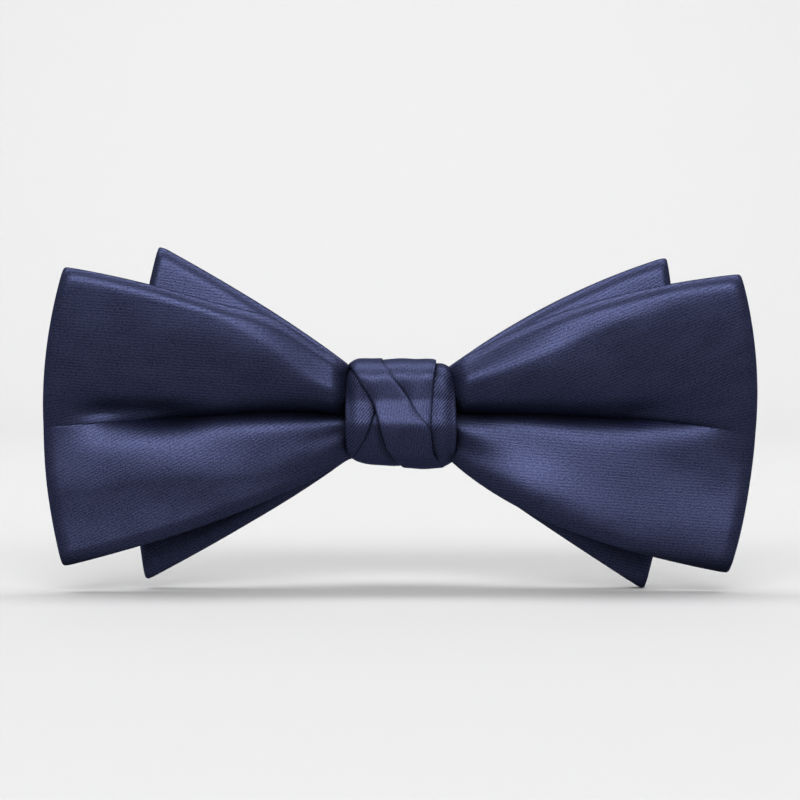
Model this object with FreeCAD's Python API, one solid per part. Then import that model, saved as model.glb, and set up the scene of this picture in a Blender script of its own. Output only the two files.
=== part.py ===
"""Ready-tied double bow tie in satin, with a sprung collar clip behind the knot.

Two flattened loops of lined satin, a wide front one and a narrower, taller rear one, are pinched together
at the waist, bound with thread and wrapped with a knot of five overlapping folded strips. A short strap behind
the knot holds a stamped steel clip whose sprung lever grips the shirt collar.

Frame, in millimetres: X runs along the tie, -Y is the front, +Z is up. The origin is the middle of the clip
plate's back face, which lies against the collar.
"""
import FreeCAD
import Part
import math
import os

V = FreeCAD.Vector

# ---- driving dimensions -----------------------------------------------------------------------

WAIST_X = 8.0              # half length of the pinched waist
WAIST_Z = 6.2              # half height of the pinched waist
SATIN = 0.30               # thickness of the satin, doubled over
INTERLINING = 0.50         # thickness of the woven stiffener
PLY_GAP = 0.04             # air between the layers of one ply
FRONT_BOW_Y = -10.6        # middle of the front bow's stack at the waist
REAR_BOW_Y = -7.4          # middle of the rear bow's stack at the waist
WAIST_HALF_GAP = 0.80      # half the distance between a bow's two plies at the waist
WAIST_CROWN = 1.2          # how far the stack's edges fall back from its middle
PLEAT_DEPTH = 2.0          # depth of the pinched valley at the waist
SEAM_GAP = 0.1             # between a bow's two ends, behind the waist
SEAM_STITCH_HALF_X = 0.7
SEAM_STITCH_PLACES = (-0.8, -0.5, 0.5, 0.8)    # up the seam, from -1 at its bottom to 1 at its top
GRID_ROWS = 13             # points across a bow, from its bottom edge to its top

# How a loop's shape changes from the waist, at 0, to the outer edge, at 1: each change is over at 1 / rate.
FOLD_RATE = 1.6            # half gap of the plies
PLEAT_RATE = 2.2           # pinched valley
VALLEY_RATE = 1.05         # shallower valley further out
CROWN_RATE = 1.5
LEAN_RATE = 2.0            # the bow's middle moves away from the other bow
SWELL_POWER = 1.5          # how slowly the loop opens out
EDGE_SWELL = 0.5           # share of the opening left at the top and bottom edges
VALLEY_WIDTH = 0.32        # as a share of half the height
BACK_VALLEY = 0.2          # depth of the valley in the rear ply, as a share of the front one's
TURN_LENGTH = 0.03         # of the fold at the outer edge

KNOT_HALF_X = 9.0          # half length of the knot
KNOT_INNER_Z = 7.5         # half height of the space inside the knot
KNOT_FRONT_Y = -12.9       # front and back of that space
KNOT_BACK_Y = -3.4
KNOT_CORNER = 3.0          # its corner radius
KNOT_PAD = 0.35            # felt pad under the strips
KNOT_PAD_INSET = 0.6       # the pad stops this far inside the knot's ends
STRIP = 0.28               # one folded strip of the knot
STRIP_LAYERS = 4           # base, the two sides, upper, crossing
LAYER_GAP = 0.03           # air between wrapped layers
CUTTER_REACH = 2.0         # the strips' cutters go this far past the knot's section

# Left and right edges of the knot's strips in X, at the knot's top and at its bottom.
LEFT_STRIP = ((-9.0, -2.6), (-9.0, -7.4))
RIGHT_STRIP = ((2.6, 9.0), (2.6, 9.0))
UPPER_STRIP = ((-3.6, 5.6), (0.6, 5.2))
CROSSING_STRIP = ((-8.0, -2.6), (-0.4, 6.4))

THREAD = 0.35              # diameter of the binding thread
THREAD_TURNS = 6
THREAD_PITCH = 0.6
STITCH_R = 0.12            # radius of the sewing thread
KNOT_STITCH_ROWS = (-5.0, 3.0, 4.0)            # Z
KNOT_STITCH_COLUMNS = (-0.8, 0.8, 2.4)         # X
KNOT_STITCH_REACH = (0.5, 0.25)                # half a stitch in X and Z

PLATE_T = 0.6              # stamped sheet of the clip
PLATE_HALF_X = 15.0
PLATE_LOW_Z = -7.6
PLATE_HIGH_Z = 6.4
PLATE_CHAMFER = 1.5
PLATE_SHOULDER_Z = 0.5     # where the plate starts to taper to its ears
SLOT_HALF_X = 4.4          # the strap's two slots
SLOT_LOW_Z = (-4.4, 0.2)
SLOT_HEIGHT = 1.2
PIN_Y = 3.0                # the lever's hinge
PIN_Z = 3.2
PIN_R = 0.75
PIN_HOLE_CLEARANCE = 0.05  # radial
PIN_HEAD_R = 1.25
PIN_HEAD_T = 0.6
PIN_HEAD_GAP = 0.15        # between a head and the plate's ear
EAR_X = 7.6                # outer face of the plate's ears
EAR_R = 1.9                # rounded end of the ears
LEVER_EAR_X = 6.6          # outer face of the lever's ears
LEVER_HALF_X = 12.0
TAB_HALF_X = 5.4
JAW_Z = -7.2               # tip of the lever's jaw
TAB_Z = 8.4                # top of the lever's thumb tab
LEVER_BACK_Y = 5.6         # outer face of the lever behind the hinge
LEVER_BEND_Z = -1.0        # where the lever bends in towards the plate
LEVER_EAR_INSET = 0.3      # the lever's ears are this much smaller than the plate's
TAB_FLARE_Y = 1.0          # the tab's top leans back this far
TOOTH_PITCH = 2.0
TOOTH_HALF_X = 0.55        # half the width of the notch between two teeth
TOOTH_HEIGHT = 0.9
JAW_CLEAR_Y = 0.8          # the closed jaw's teeth stand this far off the plate, just off the grip pad
GRIP_T = 0.45
GRIP_HALF_X = 12.5
GRIP_Z = (-7.3, -4.9)
GROOVE_Z = (-6.9, -6.2, -5.5)
GROOVE_WIDTH = 0.25
GROOVE_DEPTH = 0.15
SPRING_WIRE_R = 0.28
SPRING_TURNS = 4.5
SPRING_PITCH = 0.72
SPRING_CLEARANCE = 0.25    # between the coils and the pin
SPRING_STEPS = 12          # points per turn
PLATE_LEG_END = (0.45, 5.9)                    # Y and Z of the leg that rests on the plate
TAB_LEG_END = (4.7, 6.1)                       # and of the one under the thumb tab
STRAP_HALF_X = 4.0
STRAP_T = 0.5
STRAP_FRONT_Y = -1.74
STRAP_BACK_Y = 0.65
STRAP_Z = (-4.1, 1.1)
STRAP_STITCH_ROWS = 4
STRAP_STITCH_PITCH = 1.2
STRAP_STITCH_LOW_Z = -3.3
STRAP_STITCH_HALF_Z = 0.35
STRAP_STITCH_INSET = 0.5   # from the strap's edges
STRAP_STITCH_LIFT = 0.02   # off the strap

# Outline of each wing in the front view: the bezier control point and the outer corner of its top and bottom
# edges, and how far its outer edge bows out. For each loop: its half gap at the widest and at the outer fold,
# how far it leans away from the other bow, and the depth of its valley.
FRONT_WINGS = {
    -1: {"top": ((-26.0, 18.6), (-56.2, 24.2)), "bottom": ((-26.0, -17.4), (-56.6, -25.0)), "bow": 3.4},
    1: {"top": ((26.5, 19.4), (57.0, 23.0)), "bottom": ((22.0, -19.6), (55.2, -26.2)), "bow": 3.6},
}
REAR_WINGS = {
    -1: {"top": ((-21.0, 16.6), (-41.3, 27.9)), "bottom": ((-22.0, -16.6), (-43.3, -28.1)), "bow": 3.0},
    1: {"top": ((26.0, 19.6), (45.6, 25.9)), "bottom": ((22.0, -16.8), (41.6, -29.7)), "bow": 3.0},
}
FRONT_LOOP = {"half_gap": 2.2, "fold": 1.3, "lean": -2.0, "valley": 2.4}
REAR_LOOP = {"half_gap": 1.5, "fold": 1.1, "lean": 1.6, "valley": 1.2}


# ---- shared geometry --------------------------------------------------------------------------

def bezier(p0, p1, p2, t):
    """Point of a quadratic bezier in the plane."""
    a, b, c = (1 - t) ** 2, 2 * t * (1 - t), t * t
    return a * p0[0] + b * p1[0] + c * p2[0], a * p0[1] + b * p1[1] + c * p2[1]


def smooth(t):
    """Rises from 0 to 1 with level ends."""
    t = min(1.0, max(0.0, t))
    return t * t * (3 - 2 * t)


def loop_stations():
    """(side, progress from the middle at -1 through the waist's end at 0 to the outer edge at 1, part of the
    half gap from -1 in front to 1 behind) round a bow, from its seam behind the waist back to it."""
    out = [-0.8, -0.55, -0.3, -0.1, 0.0, 0.06, 0.13, 0.22, 0.34, 0.48, 0.62, 0.76, 0.88, 0.95]
    turn = [math.radians(a) for a in (60, 30, 0, -30, -60)]
    seam = SEAM_GAP / 2 / WAIST_X - 1
    stations = []
    for side in (-1, 1):
        wing = [(side, seam, 1.0)] + [(side, t, 1.0) for t in out]
        wing += [(side, 1.0 - TURN_LENGTH * (1 - math.cos(a)), math.sin(a)) for a in turn]
        wing += [(side, t, -1.0) for t in reversed(out)]
        stations.append(wing)
    left, right = stations
    return left + [(1, -1.0, -1.0)] + list(reversed(right))


def bow_point(wings, loop, centre_y, station, v):
    """A point of the loop's middle surface, v from -1 at the bottom edge to 1 at the top."""
    side, progress, part = station
    wing = wings[side]
    t = max(0.0, progress)
    top = bezier((side * WAIST_X, WAIST_Z), *wing["top"], t)
    bottom = bezier((side * WAIST_X, -WAIST_Z), *wing["bottom"], t)
    share = (v + 1) / 2
    x = bottom[0] + (top[0] - bottom[0]) * share + side * wing["bow"] * t * t * (1 - v * v)
    x += side * WAIST_X * min(0.0, progress)
    z = bottom[1] + (top[1] - bottom[1]) * share
    swell = max(0.0, math.sin(math.pi * t)) ** SWELL_POWER * (1 - EDGE_SWELL * v * v)
    half = WAIST_HALF_GAP + (loop["fold"] - WAIST_HALF_GAP) * smooth(t * FOLD_RATE)
    half += (loop["half_gap"] - loop["fold"]) * swell
    pinched = PLEAT_DEPTH * (1 - smooth(t * PLEAT_RATE))
    open_valley = loop["valley"] * smooth(t * PLEAT_RATE) * (1 - smooth(t * VALLEY_RATE))
    open_valley *= 1 if part < 0 else BACK_VALLEY
    pleat = (pinched + open_valley) * math.exp(-(v / VALLEY_WIDTH) ** 2)
    crown = WAIST_CROWN * v * v * (1 - smooth(t * CROWN_RATE))
    y = centre_y + loop["lean"] * smooth(t * LEAN_RATE) + part * half + pleat + crown
    return V(x, y, z)


def surface_grid(wings, loop, centre_y):
    return [[bow_point(wings, loop, centre_y, s, 2 * j / (GRID_ROWS - 1) - 1) for j in range(GRID_ROWS)]
            for s in loop_stations()]


def offset_grid(grid, distance):
    """The grid moved along its own normals, which point away from the inside of the loop."""
    out = []
    last_i, last_j = len(grid) - 1, len(grid[0]) - 1
    for i in range(last_i + 1):
        row = []
        for j in range(last_j + 1):
            along = grid[min(i + 1, last_i)][j] - grid[max(i - 1, 0)][j]
            across = grid[i][min(j + 1, last_j)] - grid[i][max(j - 1, 0)]
            normal = along.cross(across)
            normal.normalize()
            row.append(grid[i][j] + normal * distance)
        out.append(row)
    return out


def layer_solid(grid, low, high):
    """A closed sheet between two offsets of a grid."""
    surfaces = []
    for distance in (low, high):
        surface = Part.BSplineSurface()
        surface.interpolate(offset_grid(grid, distance))
        surfaces.append(surface)
    faces = [s.toShape() for s in surfaces]
    for end in (0, 1):
        faces.append(Part.makeRuledSurface(*[s.uIso(s.bounds()[end]).toShape() for s in surfaces]))
        faces.append(Part.makeRuledSurface(*[s.vIso(s.bounds()[2 + end]).toShape() for s in surfaces]))
    sewn = Part.makeShell(faces)
    sewn.sewShape()
    solid = Part.makeSolid(sewn if sewn.ShapeType == "Shell" else sewn.Shells[0])
    return solid.reversed() if solid.Volume < 0 else solid


def rounded_profile(grow):
    """Wire of the knot's cross-section in the YZ plane at X 0, grown outward."""
    y0, y1 = KNOT_FRONT_Y - grow, KNOT_BACK_Y + grow
    z = KNOT_INNER_Z + grow
    r = KNOT_CORNER + grow
    d = r * (1 - math.sqrt(0.5))
    points = [
        (V(0, y0 + r, -z), V(0, y1 - r, -z), V(0, y1 - d, -z + d), V(0, y1, -z + r)),
        (V(0, y1, -z + r), V(0, y1, z - r), V(0, y1 - d, z - d), V(0, y1 - r, z)),
        (V(0, y1 - r, z), V(0, y0 + r, z), V(0, y0 + d, z - d), V(0, y0, z - r)),
        (V(0, y0, z - r), V(0, y0, -z + r), V(0, y0 + d, -z + d), V(0, y0 + r, -z)),
    ]
    edges = []
    for start, corner, middle, end in points:
        edges.append(Part.LineSegment(start, corner).toShape())
        edges.append(Part.Arc(corner, middle, end).toShape())
    return Part.Wire(edges)


def ring(x0, x1, inner, outer):
    """A band round the knot from x0 to x1 between two growths of its section."""
    walls = []
    for grow in (outer, inner):
        face = Part.Face(rounded_profile(grow))
        face.translate(V(x0, 0, 0))
        walls.append(face.extrude(V(x1 - x0, 0, 0)))
    return walls[0].cut(walls[1])


def box(x0, y0, z0, x1, y1, z1):
    return Part.makeBox(x1 - x0, y1 - y0, z1 - z0, V(x0, y0, z0))


def x_cylinder(radius, x0, x1, y, z):
    return Part.makeCylinder(radius, x1 - x0, V(x0, y, z), V(1, 0, 0))


def prism_x(points, x0, x1):
    """A polygon in YZ pulled along X."""
    wire = Part.makePolygon([V(x0, y, z) for y, z in points + points[:1]])
    return Part.Face(wire).extrude(V(x1 - x0, 0, 0))


def prism_y(points, y0, y1):
    """A polygon in XZ pulled along Y."""
    wire = Part.makePolygon([V(x, y0, z) for x, z in points + points[:1]])
    return Part.Face(wire).extrude(V(0, y1 - y0, 0))


def capsule(a, b, radius):
    """A straight stitch with round ends, from a to b."""
    d = b - a
    reach = d.Length
    bow = radius * math.sqrt(0.5)
    profile = Part.Wire([
        Part.Arc(V(0, 0, -radius), V(bow, 0, -bow), V(radius, 0, 0)).toShape(),
        Part.LineSegment(V(radius, 0, 0), V(radius, 0, reach)).toShape(),
        Part.Arc(V(radius, 0, reach), V(bow, 0, reach + bow), V(0, 0, reach + radius)).toShape(),
        Part.LineSegment(V(0, 0, reach + radius), V(0, 0, -radius)).toShape(),
    ])
    solid = Part.Face(profile).revolve(V(0, 0, 0), V(0, 0, 1), 360)
    solid = Part.makeSolid(solid) if solid.ShapeType == "Shell" else solid
    solid.Placement = FreeCAD.Placement(a, FreeCAD.Rotation(V(0, 0, 1), d))
    return solid


# ---- bows -------------------------------------------------------------------------------------

def bow_layers(name, wings, loop, centre_y):
    """Satin face, stiffener and satin lining of one bow, each one strip right round the loop."""
    grid = surface_grid(wings, loop, centre_y)
    half = INTERLINING / 2
    return {
        name + "_satin_face": layer_solid(grid, half + PLY_GAP, half + PLY_GAP + SATIN),
        name + "_interlining": layer_solid(grid, -half, half),
        name + "_satin_lining": layer_solid(grid, -half - PLY_GAP - SATIN, -half - PLY_GAP),
    }


# ---- knot -------------------------------------------------------------------------------------

def between(top, bottom):
    """Cutter from left to right X, given as pairs at the knot's top and bottom. It runs straight behind the
    knot."""
    z = KNOT_INNER_Z + CUTTER_REACH
    middle_y = (KNOT_FRONT_Y + KNOT_BACK_Y) / 2
    front = prism_y([(bottom[0], -z), (bottom[1], -z), (top[1], z), (top[0], z)],
                    KNOT_FRONT_Y - CUTTER_REACH, middle_y)
    back = prism_y([(bottom[0], -z), (bottom[1], -z), (bottom[1], z), (bottom[0], z)],
                   middle_y, KNOT_BACK_Y + CUTTER_REACH)
    return front.fuse(back)


def knot_parts():
    """The felt pad and the five strips, each layer wrapped over the one before."""
    x = KNOT_HALF_X
    layers = [KNOT_PAD + LAYER_GAP + k * (STRIP + LAYER_GAP) for k in range(STRIP_LAYERS)]
    base, sides, upper, crossing = [ring(-x, x, low, low + STRIP) for low in layers]
    return {
        "knot_pad": ring(-x + KNOT_PAD_INSET, x - KNOT_PAD_INSET, 0, KNOT_PAD),
        "knot_strip_base": base,
        "knot_strip_left": sides.common(between(*LEFT_STRIP)),
        "knot_strip_right": sides.common(between(*RIGHT_STRIP)),
        "knot_strip_upper": upper.common(between(*UPPER_STRIP)),
        "knot_strip_crossing": crossing.common(between(*CROSSING_STRIP)),
    }


def binding_thread():
    """Turns of thread round the pinched waist, inside the knot."""
    turns = []
    for k in range(THREAD_TURNS):
        x = THREAD_PITCH * (k - (THREAD_TURNS - 1) / 2)
        turns.append(ring(x - THREAD / 2, x + THREAD / 2, -THREAD - LAYER_GAP, -LAYER_GAP))
    return Part.makeCompound(turns)


def seam_stitches():
    """Stitches across the seam where each bow's ends meet."""
    lift = INTERLINING / 2 + PLY_GAP + SATIN + 4 * LAYER_GAP + STITCH_R
    stitches = []
    for wings, loop, centre_y in ((FRONT_WINGS, FRONT_LOOP, FRONT_BOW_Y), (REAR_WINGS, REAR_LOOP, REAR_BOW_Y)):
        for v in SEAM_STITCH_PLACES:
            middle = bow_point(wings, loop, centre_y, (1, -1.0, 1.0), v)
            middle.y += lift
            reach = V(SEAM_STITCH_HALF_X, 0, 0)
            stitches.append(capsule(middle - reach, middle + reach, STITCH_R))
    return Part.makeCompound(stitches)


def knot_stitches():
    """Slanted stitches that close the strips behind the knot, above and below the strap."""
    y = KNOT_BACK_Y + KNOT_PAD + STRIP_LAYERS * (STRIP + LAYER_GAP) + LAYER_GAP + STITCH_R
    reach = V(KNOT_STITCH_REACH[0], 0, KNOT_STITCH_REACH[1])
    stitches = []
    for z in KNOT_STITCH_ROWS:
        for x in KNOT_STITCH_COLUMNS:
            stitches.append(capsule(V(x, y, z) - reach, V(x, y, z) + reach, STITCH_R))
    return Part.makeCompound(stitches)


# ---- clip -------------------------------------------------------------------------------------

def clip_plate():
    """Stamped plate with two ears for the pin and two slots for the strap."""
    half, c = PLATE_HALF_X, PLATE_CHAMFER
    plate = prism_y([(-half, PLATE_LOW_Z + c), (-half + c, PLATE_LOW_Z), (half - c, PLATE_LOW_Z),
                     (half, PLATE_LOW_Z + c), (half, PLATE_SHOULDER_Z), (EAR_X, PLATE_HIGH_Z),
                     (-EAR_X, PLATE_HIGH_Z), (-half, PLATE_SHOULDER_Z)], -PLATE_T, 0.0)
    for z in SLOT_LOW_Z:
        plate = plate.cut(box(-SLOT_HALF_X, -PLATE_T - 1, z, SLOT_HALF_X, 1, z + SLOT_HEIGHT))
    for side in (-1, 1):
        x0 = min(side * EAR_X, side * (EAR_X - PLATE_T))
        ear = prism_x([(-PLATE_T, PIN_Z - EAR_R), (PIN_Y, PIN_Z - EAR_R), (PIN_Y, PIN_Z + EAR_R),
                       (-PLATE_T, PIN_Z + EAR_R)], x0, x0 + PLATE_T)
        ear = ear.fuse(x_cylinder(EAR_R, x0, x0 + PLATE_T, PIN_Y, PIN_Z))
        hole = x_cylinder(PIN_R + PIN_HOLE_CLEARANCE, x0 - 1, x0 + PLATE_T + 1, PIN_Y, PIN_Z)
        plate = plate.fuse(ear).cut(hole)
    return plate.removeSplitter()


def clip_lever():
    """Stamped lever: toothed jaw below the pin, thumb tab above it, and two ears on the pin."""
    t = PLATE_T
    back = LEVER_BACK_Y
    tip = JAW_CLEAR_Y
    profile = [(back - t, PIN_Z), (back, PIN_Z), (back, LEVER_BEND_Z), (tip + 2.1, JAW_Z + 0.9),
               (tip + 0.9, JAW_Z + 0.1), (tip, JAW_Z + 0.1), (tip, JAW_Z + 0.7), (tip + 1.5, JAW_Z + 1.6),
               (back - t, LEVER_BEND_Z + 0.2)]
    lever = prism_x(profile, -LEVER_HALF_X, LEVER_HALF_X)
    top = back + TAB_FLARE_Y
    profile = [(back - t, PIN_Z), (back, PIN_Z), (back + 0.2, PIN_Z + 2.0), (top, TAB_Z), (top - t, TAB_Z + 0.2),
               (back - t, PIN_Z + 2.1)]
    lever = lever.fuse(prism_x(profile, -TAB_HALF_X, TAB_HALF_X))
    for k in range(int(2 * LEVER_HALF_X / TOOTH_PITCH)):
        x = -LEVER_HALF_X + TOOTH_PITCH * (k + 0.5)
        notch = prism_y([(x - TOOTH_HALF_X, JAW_Z - TOOTH_HALF_X), (x + TOOTH_HALF_X, JAW_Z - TOOTH_HALF_X),
                         (x, JAW_Z + TOOTH_HEIGHT)], 0.0, tip + TOOTH_HEIGHT)
        lever = lever.cut(notch)
    ear_r = EAR_R - LEVER_EAR_INSET
    for side in (-1, 1):
        x0 = min(side * LEVER_EAR_X, side * (LEVER_EAR_X - t))
        ear = box(x0, PIN_Y, PIN_Z - ear_r, x0 + t, back - t / 2, PIN_Z + ear_r)
        ear = ear.fuse(x_cylinder(ear_r, x0, x0 + t, PIN_Y, PIN_Z))
        hole = x_cylinder(PIN_R + PIN_HOLE_CLEARANCE, x0 - 1, x0 + t + 1, PIN_Y, PIN_Z)
        lever = lever.fuse(ear).cut(hole)
    return lever.removeSplitter()


def hinge_pin():
    """Pin with a rolled head at each end, outside the plate's ears."""
    inner = EAR_X + PIN_HEAD_GAP
    outer = inner + PIN_HEAD_T
    pin = x_cylinder(PIN_R, -outer, outer, PIN_Y, PIN_Z)
    for x0 in (-outer, inner):
        pin = pin.fuse(x_cylinder(PIN_HEAD_R, x0, x0 + PIN_HEAD_T, PIN_Y, PIN_Z))
    return pin.removeSplitter()


def torsion_spring():
    """Coils on the pin with one leg on the plate and one under the thumb tab."""
    coil_r = PIN_R + SPRING_WIRE_R + SPRING_CLEARANCE
    x0 = -SPRING_TURNS * SPRING_PITCH / 2
    steps = int(SPRING_TURNS * SPRING_STEPS)
    points = []
    for k in range(steps + 1):
        a = 2 * math.pi * SPRING_TURNS * k / steps
        points.append(V(x0 + SPRING_PITCH * SPRING_TURNS * k / steps, PIN_Y - coil_r * math.cos(a),
                        PIN_Z - coil_r * math.sin(a)))
    curve = Part.BSplineCurve()
    curve.interpolate(points)
    path = Part.Wire([curve.toShape()])
    circle = Part.Circle(points[0], curve.tangent(curve.FirstParameter)[0], SPRING_WIRE_R)
    coil = path.makePipeShell([Part.Wire([circle.toShape()])], True, True)
    plate_leg = capsule(points[0], V(x0, *PLATE_LEG_END), SPRING_WIRE_R)
    tab_leg = capsule(points[-1], V(-x0, *TAB_LEG_END), SPRING_WIRE_R)
    return coil.fuse([plate_leg, tab_leg])


def clip_strap():
    """Satin strap sewn to the knot and looped round the bar between the plate's two slots."""
    low, high = STRAP_Z
    outside = box(-STRAP_HALF_X, STRAP_FRONT_Y, low, STRAP_HALF_X, STRAP_BACK_Y, high)
    return outside.cut(box(-STRAP_HALF_X - 1, STRAP_FRONT_Y + STRAP_T, low + STRAP_T,
                           STRAP_HALF_X + 1, STRAP_BACK_Y - STRAP_T, high - STRAP_T))


def strap_stitches():
    """Rows of stitches along the two edges of the strap, on its back."""
    y = STRAP_BACK_Y + STITCH_R + STRAP_STITCH_LIFT
    reach = V(0, 0, STRAP_STITCH_HALF_Z)
    stitches = []
    for side in (-1, 1):
        for k in range(STRAP_STITCH_ROWS):
            middle = V(side * (STRAP_HALF_X - STRAP_STITCH_INSET), y, STRAP_STITCH_LOW_Z + STRAP_STITCH_PITCH * k)
            stitches.append(capsule(middle - reach, middle + reach, STITCH_R))
    return Part.makeCompound(stitches)


def grip_pad():
    """Ribbed rubber strip that the jaw's teeth close on."""
    pad = box(-GRIP_HALF_X, 0.0, GRIP_Z[0], GRIP_HALF_X, GRIP_T, GRIP_Z[1])
    for z in GROOVE_Z:
        groove = box(-GRIP_HALF_X - 1, GRIP_T - GROOVE_DEPTH, z, GRIP_HALF_X + 1, GRIP_T + 1, z + GROOVE_WIDTH)
        pad = pad.cut(groove)
    return pad


def write(shapes):
    os.makedirs("parts", exist_ok=True)
    for name, shape in shapes.items():
        shape.exportStep(f"parts/{name}.step")
        b = shape.BoundBox
        print(f"{name}: valid {shape.isValid()} solids {len(shape.Solids)} volume {shape.Volume:.1f} "
              f"x {b.XMin:.1f}..{b.XMax:.1f} y {b.YMin:.1f}..{b.YMax:.1f} z {b.ZMin:.1f}..{b.ZMax:.1f}")


def main():
    shapes = {}
    shapes.update(bow_layers("front_bow", FRONT_WINGS, FRONT_LOOP, FRONT_BOW_Y))
    shapes.update(bow_layers("rear_bow", REAR_WINGS, REAR_LOOP, REAR_BOW_Y))
    shapes.update(knot_parts())
    shapes["waist_binding_thread"] = binding_thread()
    shapes["bow_seam_stitches"] = seam_stitches()
    shapes["knot_stitches"] = knot_stitches()
    shapes["clip_strap"] = clip_strap()
    shapes["clip_strap_stitches"] = strap_stitches()
    shapes["clip_plate"] = clip_plate()
    shapes["clip_grip_pad"] = grip_pad()
    shapes["clip_lever"] = clip_lever()
    shapes["clip_hinge_pin"] = hinge_pin()
    shapes["clip_torsion_spring"] = torsion_spring()
    write(shapes)


main()
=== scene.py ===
"""Looks of the ready-tied satin bow tie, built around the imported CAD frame.

Lengths inside the shape functions are millimetres in the row frame (+X along the tie, -Y the front, +Z up).
build() turns them into metres.
"""
import math

import bpy
import numpy as np
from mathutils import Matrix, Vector


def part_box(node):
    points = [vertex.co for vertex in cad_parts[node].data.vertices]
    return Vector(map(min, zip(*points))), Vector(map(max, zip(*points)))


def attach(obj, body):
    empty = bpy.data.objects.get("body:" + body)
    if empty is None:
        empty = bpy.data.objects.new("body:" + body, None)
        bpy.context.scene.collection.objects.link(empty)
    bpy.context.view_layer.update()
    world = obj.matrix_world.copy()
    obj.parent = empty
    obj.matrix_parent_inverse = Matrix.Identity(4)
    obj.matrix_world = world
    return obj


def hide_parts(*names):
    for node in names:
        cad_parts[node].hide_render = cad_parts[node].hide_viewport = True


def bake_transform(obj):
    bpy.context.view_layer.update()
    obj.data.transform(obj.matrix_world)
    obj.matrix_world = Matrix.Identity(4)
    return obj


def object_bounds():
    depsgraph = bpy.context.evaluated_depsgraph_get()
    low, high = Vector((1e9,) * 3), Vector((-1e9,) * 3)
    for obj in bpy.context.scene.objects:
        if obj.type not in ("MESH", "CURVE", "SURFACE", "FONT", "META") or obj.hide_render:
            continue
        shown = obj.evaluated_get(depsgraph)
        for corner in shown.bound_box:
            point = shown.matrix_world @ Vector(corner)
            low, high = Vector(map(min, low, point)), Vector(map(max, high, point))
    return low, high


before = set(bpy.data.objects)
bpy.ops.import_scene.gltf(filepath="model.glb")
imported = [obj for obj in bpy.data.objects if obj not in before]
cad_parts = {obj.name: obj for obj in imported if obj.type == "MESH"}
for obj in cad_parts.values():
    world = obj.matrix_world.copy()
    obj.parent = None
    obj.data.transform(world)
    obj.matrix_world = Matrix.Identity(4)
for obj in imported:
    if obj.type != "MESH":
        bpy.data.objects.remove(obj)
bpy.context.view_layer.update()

MM = 0.001

# ---- driving dimensions, from the frame where it holds them ----------------------------------------------

KNOT_LOW, KNOT_HIGH = [np.array(c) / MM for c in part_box("knot_strip_crossing")]
KNOT_MIDDLE_Y = (KNOT_LOW[1] + KNOT_HIGH[1]) / 2
BASE_LOW, BASE_HIGH = [np.array(c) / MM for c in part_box("knot_strip_base")]
KNOT_HALF_Z = BASE_HIGH[2]
KNOT_HALF_Y = (BASE_HIGH[1] - BASE_LOW[1]) / 2
STRIP_T = 0.56             # thickness of a knot strip
STRIP_PITCH = 0.46         # from one layer of strips to the next

WAIST_X = 8.0              # where the waist, inside the knot, ends and the wing starts
WAIST_Z = 6.9              # half height of the bows at the waist
SATIN_HALF = 0.59          # half the thickness of one lined ply
INTERLINING_HALF = 0.22
LOOP_ROWS = 97             # across a bow, bottom edge to top edge
CREASE_CROWDING = 1.45     # power that draws the rows towards the crease
STRAIGHT_END = 0.97        # progress at which a panel turns round into its wing's outer edge
EDGE_TURN = 0.03           # progress that the turn takes
CAP_STEPS = 5              # round a folded edge
TWILL_LEAN = 11.5          # degrees between the twill and the cloth's length

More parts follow.
